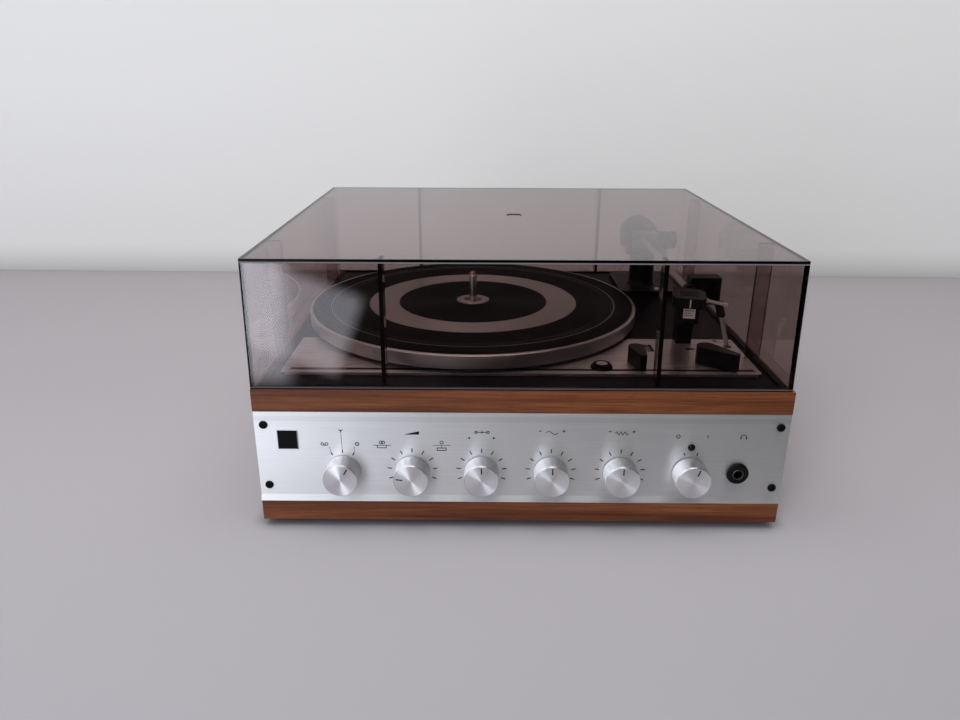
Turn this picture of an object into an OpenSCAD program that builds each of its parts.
// Stereo music centre: an automatic record changer and an amplifier in one wooden plinth,
// under a loose cover of smoked acrylic sheet. Millimetres, +Z up, the front faces -Y.
// The origin is on the table, under the middle of the whole object.

/* [Plinth] */
// Width of the wooden plinth
plinth_w = 390; // [386:1:396]
// Depth of the wooden plinth
plinth_d = 356; // [354:1:362]
// Height of the wooden plinth without its feet
plinth_h = 107; // [105:1:112]
// Height of the plinth's underside above the table
foot_h = 6; // [5:0.5:9]
// Thickness of the wooden side walls and rails
wall_t = 14; // [12:0.5:15]
// Height of the wooden strips above and below the metal panel
rail_h = 17; // [15:0.5:18]

/* [Cover] */
// Width of the acrylic cover over its side sheets
cover_w = 388; // [386:0.5:388]
// Depth of the acrylic cover at its lower edge
cover_d = 348.5; // [346:0.5:348.5]
// Height of the acrylic cover
cover_h = 94; // [92:1:110]
// How far the front sheet leans back over its height
cover_lean = 4.5; // [3:0.5:6]
// Thickness of the acrylic sheet
sheet_t = 3; // [3:0.25:3.5]
// How far the loose cover sits to the left of the middle
cover_shift = 1; // [0:0.1:1]
// How far a rib stands in from its wall
rib_depth = 11; // [8:0.5:12]

/* [Turntable] */
// Width of the deck plate
deck_w = 360; // [356:1:364]
// Depth of the deck plate
deck_d = 295; // [292:1:298]
// Depth of the bright trim at the front of the deck plate
trim_d = 79; // [70:1:84]
// Diameter of the platter
platter_dia = 293; // [280:1:294]
// Diameter of the centre spindle, for the hole of a record
spindle_dia = 7.15; // [7.1:0.01:7.2]
// Length of the arm tube from its pivot to the head
arm_len = 183; // [180:1:186]
// Angle between the arm tube and the head
head_angle = 13; // [10:1:24]

/* [Controls] */
// Diameter of a control knob
knob_dia = 25.4; // [22:0.2:27]
// Distance from the panel to the face of a knob
knob_face = 16; // [14:0.5:18]
// Distance from one knob to the next
knob_pitch = 51.3; // [50:0.1:52]
// Height of the knobs' axes above the table
knob_z = 48.3; // [46:0.1:51]
// Diameter of the turning shafts
shaft_dia = 6; // [5.8:0.05:6]
// Diameter of the headphone socket's bore, for a 6.35 mm plug
jack_bore = 6.5; // [6.45:0.01:6.55]

/* [Hidden] */
$fn = 96;

// Plinth planes
front_y = -(plinth_d + knob_face) / 2 + knob_face;
rear_y = front_y + plinth_d;
top_z = foot_h + plinth_h;
skin = 2;
in_x = plinth_w / 2 - wall_t;
rail_back_y = front_y + skin + wall_t;
panel_z0 = foot_h + rail_h + 0.1;
panel_z1 = top_z - rail_h - 0.1;

// Cover planes
cover_y0 = front_y + 1.5;
cover_y1 = cover_y0 + cover_d;
cover_top_z = top_z + cover_h;
cover_in_x = cover_w / 2 - sheet_t;
rib_z0 = top_z + 3.6;
rib_t = 3;
rib_x = 98;
side_rib_front_y = front_y + 67;
side_rib_rear_y = front_y + 275;

// Black top board inside the cover
board_x = cover_in_x - cover_shift - 0.3;
board_y0 = cover_y0 + sheet_t + 0.5;
board_y1 = cover_y1 - sheet_t - 0.5;
board_t = 8;
board_z = top_z + 0.4;
border_h = 1.6;
border_w = 4;
well_x = 172;
well_y0 = -124;
well_y1 = 136;

// Deck plate, trim and the parts on it
deck_y0 = front_y + 28.7;
deck_y1 = deck_y0 + deck_d;
deck_z = top_z + 2.2;
deck_t = 1.2;
trim_t = 0.8;
trim_z = deck_z + trim_t;
trim_y1 = deck_y0 + trim_d;
spin = [-38, 3.5];
platter_r = platter_dia / 2;
platter_z = deck_z + 15;
web_z = platter_z - 1.4;
web_t = 2.4;
rim_z = platter_z - 11.2;
drive_r = 125;
idler_r = 22;
idler_gap = 0.3;
idler_angle = 150;
idler_at = spin + (drive_r - idler_r - idler_gap) * [cos(idler_angle), sin(idler_angle)];
pulley_r = 3;
motor_at = idler_at + (idler_r + pulley_r + idler_gap) * [cos(40), sin(40)];
idler_z = deck_z + 3.3;
spindle_r = spindle_dia / 2;
tube_top_z = deck_z + 12.3;
screw_at = [[62, -128.5, trim_z], [-110, 145, deck_z]];
spring_at = [[164, -133.5], [-164, -133.5], [164, 146], [-164, 146]];
spring_h = 5.6;

// Tone arm
pivot = [135, 102];
arm_z = deck_z + 48.8;
arm_r = 3;
stub_r = 4;
yoke_z = arm_z - 13.7;
head_at = [pivot[0], pivot[1] - arm_len];
rest_at = [138.5, -67];
size_at = [90, -116];
start_at = [143.5, -117];
cue_at = [173, -79];
cue_z = deck_z - 3.6;

// Controls
shaft_r = shaft_dia / 2;
run = 0.05;
knob_gap = 1;
knob_x = [for (i = [0:5]) -131.5 + knob_pitch * i];
pull_travel = 4;
jack_x = 160.6;
lamp_z = 69;
panel_screw_at = [for (x = [-188, 188], z = [36, 85.5]) [x, z]];
feet_at = [for (x = [-168, 168], y = [-150, 166]) [x, y]];

// A box between two opposite corners
module block(lo, hi) { translate(lo) cube(hi - lo); }

// A cylinder that runs from a point on the panel's plane towards the front
module forward(x, z, from, to, r, sides = 0) {
  translate([x, front_y - from, z]) rotate([90, 0, 0])
    cylinder(h = to - from, r = r, $fn = sides > 0 ? sides : $fn);
}

// A flat plate with round corners
module plate(lo, hi, z0, z1, r) {
  block([lo[0] + r, lo[1], z0], [hi[0] - r, hi[1], z1]);
  block([lo[0], lo[1] + r, z0], [hi[0], hi[1] - r, z1]);
  for (x = [lo[0] + r, hi[0] - r], y = [lo[1] + r, hi[1] - r])
    translate([x, y, z0]) cylinder(h = z1 - z0, r = r, $fn = 48);
}

// A turned part from its half profile, given as radius and height
module turned(at, points) { translate([at[0], at[1], 0]) rotate_extrude() polygon(points); }

// The room that the top board takes out of the plinth's upper edge
module board_room() {
  block([-board_x - 0.2, board_y0 - 0.2, board_z - board_t], [board_x + 0.2, board_y1 + 0.2, top_z + 9]);
}

module plinth_sides() {
  color("saddlebrown") for (s = [-1, 1]) difference() {
    block([s > 0 ? in_x : -plinth_w / 2, front_y + skin, foot_h],
      [s > 0 ? plinth_w / 2 : -in_x, rear_y, top_z]);
    board_room();
    for (p = panel_screw_at) forward(p[0], p[1], -18, 0, 1.55, 24);
  }
}

// A strip that covers the whole width, with a thicker back between the side walls
module front_rail(z0, z1) {
  color("saddlebrown") difference() {
    union() {
      block([-plinth_w / 2, front_y, z0], [plinth_w / 2, front_y + skin, z1]);
      block([-in_x, front_y + skin, z0], [in_x, rail_back_y, z1]);
    }
    board_room();
  }
}
module front_rail_top() { front_rail(top_z - rail_h, top_z); }
module front_rail_bottom() { front_rail(foot_h, foot_h + rail_h); }

module rear_rail() {
  color("saddlebrown") difference() {
    block([-in_x, rear_y - wall_t, top_z - rail_h], [in_x, rear_y, top_z]);
    board_room();
  }
}

// Hardboard floor with two rows of air slots
module base_board() {
  color("dimgray") difference() {
    block([-plinth_w / 2 + 9, front_y + 8, foot_h - 2.5], [plinth_w / 2 - 9, rear_y - 8, foot_h]);
    for (row = [-60, 90], i = [-6:6])
      block([i * 14 - 1.8, row - 25, foot_h - 3], [i * 14 + 1.8, row + 25, foot_h + 1]);
  }
}

module feet() {
  foot_top = foot_h - 2.5;
  color("black") for (p = feet_at)
    turned(p, [[0, 0], [10, 0], [11, 1], [11.5, foot_top], [0, foot_top]]);
}

// Brushed panel with a lip at the bottom that leans forward and a bevel at the top
module front_panel() {
  half_w = plinth_w / 2 - 0.2;
  lean_h = 4.8;
  lean = 1.8;
  color("lightgray") difference() {
    translate([-half_w, 0, 0]) rotate([90, 0, 90]) linear_extrude(2 * half_w) polygon([
      [front_y + skin, panel_z0], [front_y + skin, panel_z1], [front_y + 0.6, panel_z1],
      [front_y, panel_z1 - 0.9], [front_y, panel_z0 + lean_h],
      [front_y - lean, panel_z0 + 0.4], [front_y - lean, panel_z0]]);
    for (x = knob_x) forward(x, knob_z, -3, 1, 5);
    forward(jack_x, knob_z, -3, 1, 6);
    forward(knob_x[5], lamp_z, -3, 1, 2.45);
    for (p = panel_screw_at) forward(p[0], p[1], -3, 1, 1.6, 24);
  }
}

// Black round-headed screws with a six-sided recess
module panel_screws() {
  color("black") for (p = panel_screw_at) difference() {
    translate([p[0], front_y, p[1]]) rotate([90, 0, 0]) rotate_extrude($fn = 48)
      polygon([[0, -14], [1.2, -14], [1.5, -12.5], [1.5, 0], [3.1, 0], [3.1, 0.7], [2.5, 1.3], [0, 1.5]]);
    forward(p[0], p[1], 0.5, 2, 1.25, 6);
  }
}

module pilot_lamp() {
  color("darkred") translate([knob_x[5], front_y, lamp_z]) rotate([90, 0, 0]) rotate_extrude($fn = 48)
    polygon([[0, -20], [3.4, -20], [3.4, -2], [2.4, -2], [2.4, 0.4], [2.2, 0.9], [1.5, 1.4], [0, 1.6]]);
}

module headphone_jack() {
  color("black") difference() {
    union() {
      translate([jack_x, front_y, knob_z]) rotate([90, 0, 0]) rotate_extrude()
        polygon([[0, -2], [5.9, -2], [5.9, 0], [8.1, 0], [8.1, 2.2], [7.3, 3], [0, 3]]);
      block([jack_x - 8, front_y + 2, knob_z - 8], [jack_x + 8, front_y + 28, knob_z + 8]);
    }
    forward(jack_x, knob_z, -25, 4, jack_bore / 2);
  }
}

// The body of one control with its bushing through the panel
module control_body(x, body_r, body_l) {
  difference() {
    union() {
      forward(x, knob_z, -2 - body_l, -2, body_r);
      forward(x, knob_z, -3, 2.6, 4.9);
      for (i = [-1:1]) block([x + 5 * i - 1, front_y + 4, knob_z - body_r - 5],
        [x + 5 * i + 1, front_y + 4.8, knob_z - body_r + 1]);
    }
    forward(x, knob_z, -4 - body_l, 4, shaft_r + run);
  }
}

// Four alike; the volume control has two pins that guide the mono and stereo slider
module potentiometers() {
  color("darkgoldenrod") {
    for (i = [1:4]) control_body(knob_x[i], 12, 11);
    for (s = [-1, 1]) forward(knob_x[1] + 9 * s, knob_z, -28, -13, 1, 24);
  }
}

module source_switch() {
  color("silver") {
    control_body(knob_x[0], 13, 6);
    difference() {
      union() {
        for (i = [0:1]) forward(knob_x[0], knob_z, -19 - 8 * i, -17 - 8 * i, 15);
        for (s = [-1, 1]) forward(knob_x[0] + 10.5 * s, knob_z, -27, -8, 1.6, 24);
      }
      forward(knob_x[0], knob_z, -30, -16, 4);
    }
  }
}

module power_switch() {
  color("dimgray") difference() {
    union() {
      block([knob_x[5] - 13, front_y + 2, knob_z - 13], [knob_x[5] + 13, front_y + 24, knob_z + 13]);
      forward(knob_x[5], knob_z, -3, 2.6, 4.9);
    }
    forward(knob_x[5], knob_z, -26, 4, shaft_r + run);
  }
}

module bushing_nuts() {
  color("gold") for (x = knob_x) difference() {
    forward(x, knob_z, 0, 2, 8, 6);
    forward(x, knob_z, -1, 3, 4.95);
  }
}

// Black board around the deck, with a raised border that keeps the loose cover in place
module top_board() {
  color("#202022") difference() {
    union() {
      block([-board_x, board_y0, board_z - board_t], [board_x, board_y1, board_z]);
      block([-board_x, board_y0, board_z], [board_x, board_y1, board_z + border_h]);
    }
    block([-board_x + border_w, board_y0 + border_w, board_z],
      [board_x - border_w, board_y1 - border_w, board_z + 3]);
    block([-well_x, well_y0, board_z - 20], [well_x, well_y1, board_z + 3]);
    for (p = spring_at) translate([p[0], p[1], board_z - 5]) cylinder(h = 9, r = 8.2);
    for (p = screw_at) translate([p[0], p[1], board_z - 20]) cylinder(h = 30, r = 2.2, $fn = 32);
    block([cue_at[0] - 6, cue_at[1] - 7, board_z - 20], [cue_at[0] + 6, cue_at[1] + 9, board_z + 3]);
  }
}

// The holes that go through the deck plate and its trim
module deck_holes() {
  for (p = screw_at) translate([p[0], p[1], deck_z - 9]) cylinder(h = 12, r = 2.2, $fn = 32);
  for (p = [size_at, start_at]) translate([p[0], p[1], deck_z - 9]) cylinder(h = 12, r = 3.1, $fn = 32);
  plate([cue_at[0] - 4, cue_at[1] - 4.8], [cue_at[0] + 1.8, cue_at[1] + 2.6], deck_z - 9, deck_z + 3, 1.8);
  plate([136, -88], [144, -83.6], deck_z - 9, deck_z + 3, 1.5);
  translate([165.4, -66.4, deck_z - 9]) cylinder(h = 12, r = 2, $fn = 24);
}

// Steel deck plate with a stiffening skirt inside the well and the stud for the idler
module chassis_plate() {
  color("#2b2b2e") {
    difference() {
      union() {
        plate([-deck_w / 2, deck_y0], [deck_w / 2, deck_y1], deck_z - deck_t, deck_z, 4);
        block([-well_x + 2, well_y0 + 2, deck_z - 15], [well_x - 2, well_y1 - 2, deck_z - deck_t]);
      }
      block([-well_x + 3.5, well_y0 + 3.5, deck_z - 16], [well_x - 3.5, well_y1 - 3.5, deck_z - deck_t]);
      translate([spin[0], spin[1], deck_z - 9]) cylinder(h = 12, r = 9.2);
      translate([motor_at[0], motor_at[1], deck_z - 9]) cylinder(h = 12, r = 11);
      translate([pivot[0], pivot[1], deck_z - 9]) cylinder(h = 12, r = 10);
      deck_holes();
    }
    translate([idler_at[0], idler_at[1], deck_z - 0.6]) cylinder(h = 8.4, r = 1.5, $fn = 32);
  }
}

// Bright trim with a front lip and one fine dark groove
module chassis_trim() {
  color("silver") difference() {
    union() {
      plate([-deck_w / 2, deck_y0], [deck_w / 2, trim_y1], deck_z, trim_z, 3);
      block([-deck_w / 2 + 3, deck_y0 - 0.8, deck_z - 1.3], [deck_w / 2 - 3, deck_y0, trim_z]);
    }
    block([-deck_w / 2 + 6, deck_y0 + 6.4, trim_z - 0.4], [deck_w / 2 - 4, deck_y0 + 9, trim_z + 1]);
    deck_holes();
  }
}

// Flat heads with a screwdriver slot
module transport_screws() {
  color("silver") for (p = screw_at) difference() {
    translate(p) rotate_extrude($fn = 64)
      polygon([[0, -16], [2, -16], [2, 0], [6.7, 0], [6.7, 2.6], [6.3, 3.2], [5.6, 3.4], [0, 3.4]]);
    translate(p + [0, 0, 3.4]) rotate([0, 0, 35]) cube([20, 1.2, 2.4], center = true);
  }
}

// One open coil spring as a tube swept along a helix; the gap between turns is printed
coil_r = 6.8;
wire_r = 0.6;
coil_turns = 3;
coil_steps = 8;
coil_sides = 6;
coil_rise = (spring_h - 2 * wire_r) / coil_turns;
function coil_ring(k) = let (a = 360 * k / coil_steps, z = wire_r + coil_rise * k / coil_steps)
  [for (j = [0:coil_sides - 1]) let (b = 360 * j / coil_sides, r = coil_r + wire_r * cos(b))
    [r * cos(a), r * sin(a), z + wire_r * sin(b)]];
module coil_spring() {
  last = coil_turns * coil_steps;
  n = coil_sides;
  points = [for (k = [0:last]) each coil_ring(k)];
  sides = [for (k = [0:last - 1], j = [0:n - 1]) let (a = k * n + j, b = k * n + (j + 1) % n)
    each [[a, b, b + n], [a, b + n, a + n]]];
  ends = [for (j = [1:n - 2]) each [[0, j + 1, j], [last * n, last * n + j, last * n + j + 1]]];
  polyhedron(points, concat(sides, ends));
}
module suspension_springs() {
  echo(least_gap_between_turns = coil_rise - 2 * wire_r);
  color("silver") for (p = spring_at) translate([p[0], p[1], board_z - 5]) coil_spring();
}

// The still tube that the platter turns on; the spindle plugs into it from above
module bearing_housing() {
  color("silver") turned(spin, [[0, deck_z - 21], [9, deck_z - 21], [9, deck_z - 4], [20, deck_z - 4],
    [20, deck_z - deck_t], [9, deck_z - deck_t], [9, deck_z + 1], [8, deck_z + 1], [8, tube_top_z],
    [5.25, tube_top_z], [5.25, deck_z - 18], [0, deck_z - 18]]);
}

module thrust_balls() {
  ball_r = 1.4;
  color("silver") {
    turned(spin, [[9.1, deck_z], [13, deck_z], [13, deck_z + 0.8], [9.1, deck_z + 0.8]]);
    for (i = [0:9]) translate([spin[0] + 11 * cos(36 * i), spin[1] + 11 * sin(36 * i), deck_z + 0.8 + ball_r])
      sphere(r = ball_r, $fn = 24);
  }
}

module motor() {
  bottom = deck_z - 54;
  top = deck_z - 15;
  color("slategray") difference() {
    union() {
      turned(motor_at, [[0, bottom], [24, bottom], [26, bottom + 4], [26, bottom + 10], [31, bottom + 10],
        [31, top - 10], [26, top - 10], [26, top - 4], [24, top], [8, top], [8, top + 4], [0, top + 4]]);
      for (a = [30, 150, 270]) translate([motor_at[0] + 21 * cos(a), motor_at[1] + 21 * sin(a), top - 1])
        cylinder(h = deck_z - deck_t - top + 1, r = 2.8, $fn = 32);
    }
    translate([motor_at[0], motor_at[1], top - 12]) cylinder(h = 20, r = 1.5 + run, $fn = 32);
  }
}

// Base of the arm: a low plate and the black column
module arm_base() {
  plate_z = deck_z + 5.8;
  color("#1c1c1e") difference() {
    union() {
      plate([109, 70], [170, 150], deck_z, plate_z, 8);
      translate([pivot[0], pivot[1], deck_z - 11]) cylinder(h = 12, r = 9.8);
      turned(pivot, [[0, plate_z - 1], [15, plate_z - 1], [12.5, plate_z + 4],
        [12.5, yoke_z - 0.3], [0, yoke_z - 0.3]]);
    }
    translate([pivot[0], pivot[1], yoke_z - 24]) cylinder(h = 30, r = 4 + run);
  }
}

// Rest for the parked arm: a post, a shelf under the tube and a frame on its right
module arm_rest() {
  x0 = rest_at[0] - 7.3;
  x1 = 163;
  y0 = rest_at[1] - 7;
  y1 = rest_at[1] + 7;
  shelf_z = arm_z - arm_r - 0.2;
  post_z = arm_z - 14;
  cheek_x = pivot[0] + arm_r + 0.6;
  color("#1c1c1e") difference() {
    union() {
      block([x0, y0 + 1, trim_z], [x0 + 12.6, y1 - 1, post_z]);
      block([x0 - 2.5, y0, post_z], [x1, y1, shelf_z]);
      block([cheek_x, y0, shelf_z], [x1, y1, arm_z + 8]);
    }
    for (x = [cheek_x + 3.2, cheek_x + 11.4]) translate([x, y0 - 1, post_z + 2.5])
      rotate([90, 0, 0]) mirror([0, 0, 1]) linear_extrude(16)
        polygon([[0, 0], [2.4, 0], [9.6, 16.5], [7.2, 16.5]]);
  }
}

module circuit_board() {
  color("darkgreen") block([-120, -130, 24], [120, -20, 25.6]);
  color("gainsboro") for (x = [-112, 112], y = [-122, -28]) translate([x, y, foot_h])
    cylinder(h = 24 - foot_h, r = 3, $fn = 32);
}

module capacitors() {
  board_top = 25.6;
  color("steelblue") {
    for (i = [0:1]) turned([-85 + 34 * i, -48], [[0, board_top], [12.5, board_top], [12.5, board_top + 38],
      [11.5, board_top + 40], [0, board_top + 40]]);
    for (i = [0:6], j = [0:1]) turned([10 + 15 * i, -48 - 40 * j], [[0, board_top], [5, board_top],
      [5, board_top + 17], [4.4, board_top + 18], [0, board_top + 18]]);
  }
}

// Finned plate with four output transistors
module heat_sink() {
  y = rear_y - 22;
  color("#303034") {
    block([-66, y, foot_h], [66, y + 3, 72]);
    for (i = [0:11]) block([-63 + 11 * i, y - 18, 12], [-61 + 11 * i, y, 72]);
  }
  color("silver") for (i = [0:3]) translate([-48 + 32 * i, y + 3, 42]) rotate([-90, 0, 0]) {
    cylinder(h = 1.5, r = 13, $fn = 48);
    translate([0, 0, 1.5]) cylinder(h = 6.5, r = 9, $fn = 48);
  }
}

// Laminated core with its winding between the two side legs
module transformer() {
  lo = [92, 52, foot_h];
  hi = [158, 94, foot_h + 54];
  color("dimgray") {
    difference() {
      block(lo, hi);
      block([lo[0] + 11, lo[1] - 1, lo[2] + 10], [hi[0] - 11, hi[1] + 1, hi[2] - 10]);
    }
  }
  color("peru") plate([lo[0] + 11.5, lo[1] - 9], [hi[0] - 11.5, hi[1] + 9], lo[2] + 10.5, hi[2] - 10.5, 5);
}

socket_x = [-158, -130, -102, -78];
socket_z = 38;
gland_at = [120, 30];
module rear_panel() {
  y = rear_y - 7;
  color("#303034") difference() {
    block([-in_x, y, foot_h], [in_x, y + 1.5, top_z - rail_h]);
    for (x = socket_x) translate([x, y - 1, socket_z]) rotate([-90, 0, 0]) cylinder(h = 4, r = 8);
    translate([gland_at[0], y - 1, gland_at[1]]) rotate([-90, 0, 0]) cylinder(h = 4, r = 6.2);
    for (i = [0:13]) block([15 + 5.5 * i, y - 1, 62], [17.5 + 5.5 * i, y + 3, 86]);
  }
}

// Two five-pin and two loudspeaker sockets, each with a round flange
module rear_sockets() {
  y = rear_y - 5.5;
  color("black") for (i = [0:3]) translate([socket_x[i], y, socket_z]) difference() {
    rotate([-90, 0, 0]) {
      cylinder(h = 1.6, r = 10.5);
      translate([0, 0, -12]) cylinder(h = 12.5, r = 7.8);
    }
    if (i < 2) for (a = [0:45:180]) translate([4.8 * cos(a), 0, -4.8 * sin(a)]) rotate([-90, 0, 0])
      translate([0, 0, -7]) cylinder(h = 10, r = 0.85, $fn = 24);
    if (i > 1) {
      translate([0, -7, 3]) rotate([-90, 0, 0]) cylinder(h = 10, r = 1.6, $fn = 24);
      block([-2.6, -7, -5.2], [2.6, 3, -3.6]);
    }
  }
}

// Gland that holds a mains lead
module mains_gland() {
  y = rear_y - 5.5;
  color("black") translate([gland_at[0], y, gland_at[1]]) rotate([-90, 0, 0]) difference() {
    union() {
      translate([0, 0, -12]) cylinder(h = 14, r = 6);
      cylinder(h = 3, r = 9);
    }
    translate([0, 0, -13]) cylinder(h = 20, r = 3.6);
  }
}

// Cast platter with an outer rim and an inner rim that the idler drives
module platter() {
  r = platter_r;
  low = web_z - web_t;
  color("silver") turned(spin, [[8 + run, deck_z + 3.65], [14, deck_z + 3.65], [14, low], [drive_r, low],
    [drive_r, deck_z + 3], [drive_r + 3, deck_z + 3], [drive_r + 3, low], [r - 4, low], [r - 4, rim_z + 0.6],
    [r - 3.4, rim_z], [r - 0.6, rim_z], [r, rim_z + 0.6], [r, platter_z - 0.8], [r - 0.8, platter_z],
    [r - 2.7, platter_z], [r - 2.7, web_z], [8 + run, web_z]]);
}

// Rubber mat with fine rings; a bright ring lies in a shallow recess
mat_z = web_z + 1.8;
ring_r0 = 67.1;
ring_r1 = 93.9;
module platter_mat() {
  r1 = platter_r - 2.8;
  color("#18181a") translate([spin[0], spin[1], 0]) rotate_extrude() difference() {
    translate([15.2, web_z]) square([r1 - 15.2, mat_z - web_z]);
    translate([ring_r0 - 0.2, mat_z - 0.9]) square([ring_r1 - ring_r0 + 0.4, 2]);
    for (r = [19:3:64]) translate([r, mat_z - 0.5]) square([1.2, 2]);
    for (r = [96.5:3:118]) translate([r, mat_z - 0.5]) square([1.2, 2]);
    for (r = [125.5:3:r1 - 3]) translate([r, mat_z - 0.5]) square([1.2, 2]);
  }
}

module mat_ring() {
  color("silver") turned(spin, [[ring_r0, mat_z - 0.9], [ring_r1, mat_z - 0.9], [ring_r1, mat_z - 0.4],
    [ring_r1 - 0.3, mat_z - 0.2], [ring_r0 + 0.3, mat_z - 0.2], [ring_r0, mat_z - 0.4]]);
}

module hub_disc() {
  color("silver") turned(spin, [[8.1, web_z], [14.7, web_z], [14.7, mat_z + 0.4], [14.2, mat_z + 0.8],
    [8.4, mat_z + 0.8], [8.1, mat_z + 0.5]]);
}

// Short spindle with a loose-fitting tip; it lifts out of the bearing tube
module center_spindle() {
  z0 = tube_top_z + 0.1;
  tip_z = mat_z + 23.5;
  color("silver") turned(spin, [[0, deck_z - 16], [4.2, deck_z - 16], [5.15, deck_z - 14], [5.15, z0], [7.4, z0],
    [7.4, z0 + 1.6], [6.6, z0 + 2], [spindle_r, z0 + 2], [spindle_r, tip_z], [2.9, tip_z + 0.5],
    [2.9, tip_z + 1.4], [3.2, tip_z + 1.8], [2.9, tip_z + 2.6], [1.8, tip_z + 3.2], [0, tip_z + 3.4]]);
}

module idler_wheel() {
  z = idler_z;
  color("#26262a") turned(idler_at, [[1.5 + run, z - 1.5], [4, z - 1.5], [4, z + 1], [16, z + 1],
    [18, z], [idler_r - 0.5, z], [idler_r, z + 0.5], [idler_r, z + 3.5], [idler_r - 0.5, z + 4],
    [18, z + 4], [16, z + 3], [4, z + 3], [4, z + 4.2], [1.5 + run, z + 4.2]]);
}

// Stepped pulley for three speeds on the motor's shaft
module motor_pulley() {
  z = deck_z;
  color("goldenrod") turned(motor_at, [[0, z - 26], [1.5, z - 26], [1.5, z - 8], [7, z - 8], [7, z - 4],
    [4.05, z - 3.5], [4.05, z + 1.5], [pulley_r, z + 2], [pulley_r, z + 8.6], [0, z + 8.6]]);
}

// Fork that swings the arm; its pin turns in the column. On its right is the force dial with
// its bracket, on its left the ribbed screw of the bearing
module arm_yoke() {
  z = yoke_z;
  x = pivot[0];
  y = pivot[1];
  color("#1c1c1e") difference() {
    union() {
      turned(pivot, [[0, z - 22], [4, z - 22], [4, z - 0.1], [12.6, z - 0.1], [12.6, z + 3], [0, z + 3]]);
      block([x - 17.5, y - 9, z], [x + 17.5, y + 9, z + 3]);
      for (s = [-1, 1]) {
        block([x + (s > 0 ? 13 : -17.5), y - 9, z + 2], [x + (s > 0 ? 17.5 : -13), y + 9, arm_z]);
        translate([x + (s > 0 ? 13 : -17.5), y, arm_z]) rotate([0, 90, 0])
          cylinder(h = 4.5, r = 9);
      }
      translate([x, y, arm_z]) rotate([0, 90, 0]) rotate_extrude()
        polygon([[0, 15], [8.5, 15], [8.5, 24], [7.6, 24.6], [7.6, 26.4], [8.5, 27],
          [8.5, 31.4], [7.9, 32], [0, 32]]);
      block([x + 17, y - 4, z - 5], [x + 24, y + 4, arm_z - 6]);
      block([x + 13.2, y - 4, z - 5], [x + 24, y + 4, z + 1]);
      translate([x - 22.5, y, arm_z]) rotate([0, 90, 0]) cylinder(h = 6, r = 6);
      for (a = [0:24:336]) translate([x - 22, y, arm_z]) rotate([a, 0, 0])
        translate([0, -0.6, 0]) cube([4.4, 1.2, 6.6]);
    }
    translate([x - 17.4, y, arm_z]) rotate([0, 90, 0]) cylinder(h = 34.8, r = 1.5 + run, $fn = 32);
  }
}

// Hollow tube, pivot block with its two trunnions, and the solid stub for the weight
module arm_tube() {
  y = pivot[1];
  color("silver") {
    difference() {
      union() {
        block([pivot[0] - 12, y - 9, arm_z - 7], [pivot[0] + 12, y + 9, arm_z + 8]);
        translate([pivot[0] - 17.2, y, arm_z]) rotate([0, 90, 0]) cylinder(h = 34.4, r = 1.5, $fn = 32);
        translate([pivot[0], y - 6, arm_z]) rotate([90, 0, 0]) cylinder(h = arm_len - 6.1, r = arm_r, $fn = 48);
        translate([pivot[0], y + 6, arm_z]) rotate([-90, 0, 0]) cylinder(h = 42, r = stub_r, $fn = 48);
      }
      translate([pivot[0], y - 8, arm_z]) rotate([90, 0, 0]) cylinder(h = arm_len, r = arm_r - 0.8, $fn = 48);
    }
  }
}

// Places things in the head's own frame, which turns in towards the platter
module at_head() { translate([head_at[0], head_at[1], arm_z]) rotate([0, 0, -head_angle]) children(); }

// Open-bottomed shell with a narrow neck and a collar on the tube
module head_shell() {
  color("#1c1c1e") at_head() {
    difference() {
      union() {
        block([-5, -16, -3], [5, -1.5, 3]);
        translate([0, 0, -3.8]) linear_extrude(7.8) polygon([[-8, -12], [8, -12], [12.3, -17], [12.3, -36],
          [9.5, -40.5], [-9.5, -40.5], [-12.3, -36], [-12.3, -17]]);
      }
      translate([0, 0, -5]) linear_extrude(7) polygon([[-10.8, -18], [10.8, -18], [10.8, -35.3], [8.4, -39],
        [-8.4, -39], [-10.8, -35.3]]);
      for (i = [0:2]) block([-7, -22 - 5 * i, 1], [7, -20 - 5 * i, 5]);
    }
    rotate([0, 0, head_angle]) translate([0, 2.5, 0]) rotate([90, 0, 0]) difference() {
      cylinder(h = 5.4, r = 4.8, $fn = 48);
      translate([0, 0, -1]) cylinder(h = 3.6, r = arm_r + 0.02, $fn = 48);
    }
  }
}

module finger_lift() {
  color("silver") at_head() translate([12.3, -29, 0.6]) rotate([0, 102, 9.5]) rotate_extrude($fn = 32)
    polygon([[0, 0.6], [2, 0.6], [2, 1.4], [1.1, 2], [1.1, 14.2], [1.6, 14.9],
      [1.6, 16.8], [1.1, 17.4], [0, 17.6]]);
}

// Pickup cartridge with its stylus arm and tip
module cartridge() {
  color("#101012") at_head() {
    block([-8, -37, -16.5], [8, -14, -4]);
    block([-6.5, -34, -4], [6.5, -19, 2]);
    block([-5, -39.5, -18], [5, -26, -16.5]);
    translate([0, -37.5, -19.4]) cylinder(h = 2, r = 0.5, $fn = 16);
  }
}

// Weight on the arm's stub with a grooved grip round its edge
module counterweight() {
  r = 18.5;
  y0 = pivot[1] + 20;
  color("#1c1c1e") difference() {
    translate([pivot[0], y0, arm_z]) rotate([-90, 0, 0]) rotate_extrude()
      polygon([[stub_r + run, 0], [r - 1.5, 0], [r, 1.5], [r, 18.5], [r - 1.5, 20], [stub_r + run, 20]]);
    for (a = [0:12:348]) translate([pivot[0], y0 + 3, arm_z]) rotate([0, a, 0])
      translate([r - 0.7, 0, -0.7]) cube([2, 11, 1.4]);
    translate([pivot[0], y0 + 16, arm_z]) rotate([-90, 0, 0]) difference() {
      cylinder(h = 1.4, r = r + 1);
      translate([0, 0, -1]) cylinder(h = 4, r = r - 0.8);
    }
  }
}

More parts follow.
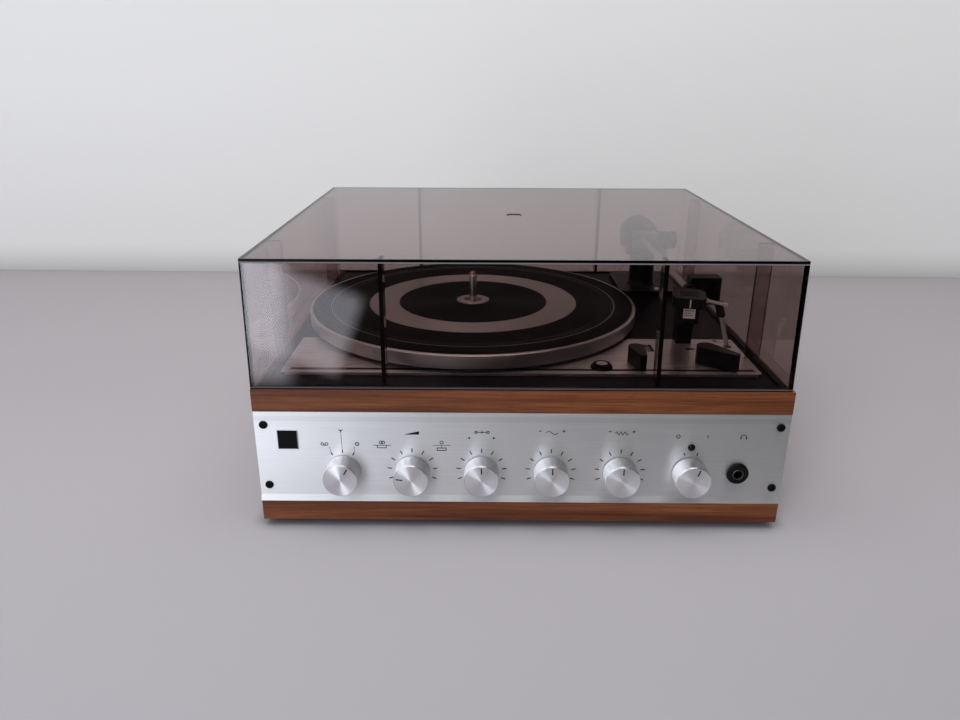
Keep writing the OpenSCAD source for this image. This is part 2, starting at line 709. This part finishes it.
// A wedge-shaped lever on a round hub with a stem through the deck
module wedge_lever(at, turn, hub_r, reach, tip_half, height) {
  z0 = trim_z + 0.5;
  translate([at[0], at[1], 0]) rotate([0, 0, turn]) {
    translate([0, 0, z0]) cylinder(h = height, r = hub_r, $fn = 64);
    translate([0, 0, z0]) linear_extrude(height)
      polygon([[-hub_r, 0], [-tip_half, -reach], [tip_half, -reach], [hub_r, 0]]);
    translate([0, 0, deck_z - 10]) cylinder(h = z0 - deck_z + 10.5, r = 3, $fn = 48);
  }
}
module size_lever() { color("#1c1c1e") wedge_lever(size_at, 5.4, 6.2, 21, 2.3, 12.5); }
module start_lever() { color("#1c1c1e") wedge_lever(start_at, 42.8, 7.4, 27.5, 2.4, 13.5); }

// Bent steel rod with a black grip; it rocks on a short axle under the deck
module cue_lever() {
  lean = 16;
  color("silver") translate([cue_at[0], cue_at[1], cue_z]) {
    rotate([0, 90, 0]) translate([0, 0, -2.2]) cylinder(h = 6.2, r = 1.9, $fn = 32);
    rotate([0, -lean, 0]) cylinder(h = 33, r = 1.8, $fn = 32);
  }
  color("#1c1c1e") translate([cue_at[0], cue_at[1], cue_z]) rotate([0, -lean, 0])
    translate([-2.8, -2.4, 31.5]) cube([5.6, 4.8, 12.5]);
}

// A spun knob with a pointer groove on its face, and the shaft it is fixed to
module knob(i, angle, shaft_back) {
  r = knob_dia / 2;
  translate([knob_x[i], front_y, knob_z]) rotate([90, 0, 0]) {
    color("gainsboro") difference() {
      rotate_extrude() polygon([[shaft_r + 0.02, 4], [9.6, 4], [9.6, knob_gap], [r - 0.3, knob_gap],
        [r, knob_gap + 0.3],
        [r, knob_face - 0.6], [r - 0.6, knob_face], [0, knob_face], [0, 13], [shaft_r + 0.02, 13]]);
      rotate([0, 0, -angle]) block([-0.5, 6, knob_face - 0.4], [0.5, 11, knob_face + 1]);
    }
    color("dimgray") translate([0, 0, -shaft_back]) cylinder(h = shaft_back + 12.8, r = shaft_r, $fn = 64);
  }
}
module selector_knob() { knob(0, 30, 7); }
module volume_knob() { knob(1, -82.5, 24); }
module balance_knob() { knob(2, 0, 12); }
module bass_knob() { knob(3, 0, 12); }
module treble_knob() { knob(4, 0, 12); }
module power_knob() { knob(5, 20, 22); }

// Slide of the mono and stereo switch, carried along by the volume shaft
module stereo_slider() {
  x = knob_x[1];
  back = 13 + pull_travel + 0.6;
  color("ivory") difference() {
    block([x - 12, front_y + back, knob_z - 5], [x + 12, front_y + back + 5.6, knob_z + 5]);
    forward(x, knob_z, -back - 8, -back + 2, shaft_r + run);
    for (s = [-1, 1]) forward(x + 9 * s, knob_z, -back - 8, -back + 2, 1.15, 24);
  }
}

// The five glued sheets and eight ribs of the loose cover; its front sheet leans back
smoke = [0.35, 0.3, 0.28, 0.5];
sheet_z1 = cover_top_z - sheet_t;
function front_face(z) = cover_y0 + cover_lean * (z - top_z) / (sheet_z1 - top_z);

// A sheet or rib from its outline in the Y-Z plane, from one X to another
module upright(x0, x1, outline) {
  color(smoke) translate([x0 - cover_shift, 0, 0]) rotate([90, 0, 90]) linear_extrude(x1 - x0) polygon(outline);
}
module cover_top() {
  color(smoke) translate([-cover_shift, 0, 0])
    block([-cover_w / 2, cover_y0 + cover_lean, sheet_z1], [cover_w / 2, cover_y1, cover_top_z]);
}
module cover_front() {
  upright(-cover_w / 2, cover_w / 2, [[cover_y0, top_z], [cover_y0 + sheet_t, top_z],
    [cover_y0 + cover_lean + sheet_t, sheet_z1], [cover_y0 + cover_lean, sheet_z1]]);
}
module cover_rear() {
  upright(-cover_w / 2, cover_w / 2, [[cover_y1 - sheet_t, top_z], [cover_y1, top_z],
    [cover_y1, sheet_z1], [cover_y1 - sheet_t, sheet_z1]]);
}
module cover_side(x) {
  upright(x, x + sheet_t, [[cover_y0 + sheet_t, top_z], [cover_y1 - sheet_t, top_z],
    [cover_y1 - sheet_t, sheet_z1], [cover_y0 + cover_lean + sheet_t, sheet_z1]]);
}
module cover_left() { cover_side(-cover_w / 2); }
module cover_right() { cover_side(cover_in_x); }
module cover_ribs() {
  low_y = front_face(rib_z0) + sheet_t;
  high_y = cover_y0 + cover_lean + sheet_t;
  for (x = [-rib_x, rib_x]) {
    upright(x - rib_t / 2, x + rib_t / 2, [[low_y, rib_z0], [low_y + rib_depth, rib_z0],
      [high_y + rib_depth, sheet_z1], [high_y, sheet_z1]]);
    upright(x - rib_t / 2, x + rib_t / 2, [[cover_y1 - sheet_t - rib_depth, rib_z0], [cover_y1 - sheet_t, rib_z0],
      [cover_y1 - sheet_t, sheet_z1], [cover_y1 - sheet_t - rib_depth, sheet_z1]]);
  }
  for (x = [-cover_in_x, cover_in_x - rib_depth], y = [side_rib_front_y, side_rib_rear_y])
    upright(x, x + rib_depth, [[y - rib_t / 2, rib_z0], [y + rib_t / 2, rib_z0],
      [y + rib_t / 2, sheet_z1], [y - rib_t / 2, sheet_z1]]);
}

plinth_sides();
front_rail_top();
front_rail_bottom();
rear_rail();
base_board();
feet();
front_panel();
panel_screws();
pilot_lamp();
headphone_jack();
potentiometers();
source_switch();
power_switch();
bushing_nuts();
top_board();
chassis_plate();
chassis_trim();
transport_screws();
suspension_springs();
bearing_housing();
thrust_balls();
motor();
arm_base();
arm_rest();
circuit_board();
capacitors();
heat_sink();
transformer();
rear_panel();
rear_sockets();
mains_gland();
platter();
platter_mat();
mat_ring();
hub_disc();
center_spindle();
idler_wheel();
motor_pulley();
arm_yoke();
arm_tube();
head_shell();
finger_lift();
cartridge();
counterweight();
size_lever();
start_lever();
cue_lever();
selector_knob();
stereo_slider();
volume_knob();
balance_knob();
bass_knob();
treble_knob();
power_knob();
cover_top();
cover_front();
cover_rear();
cover_left();
cover_right();
cover_ribs();
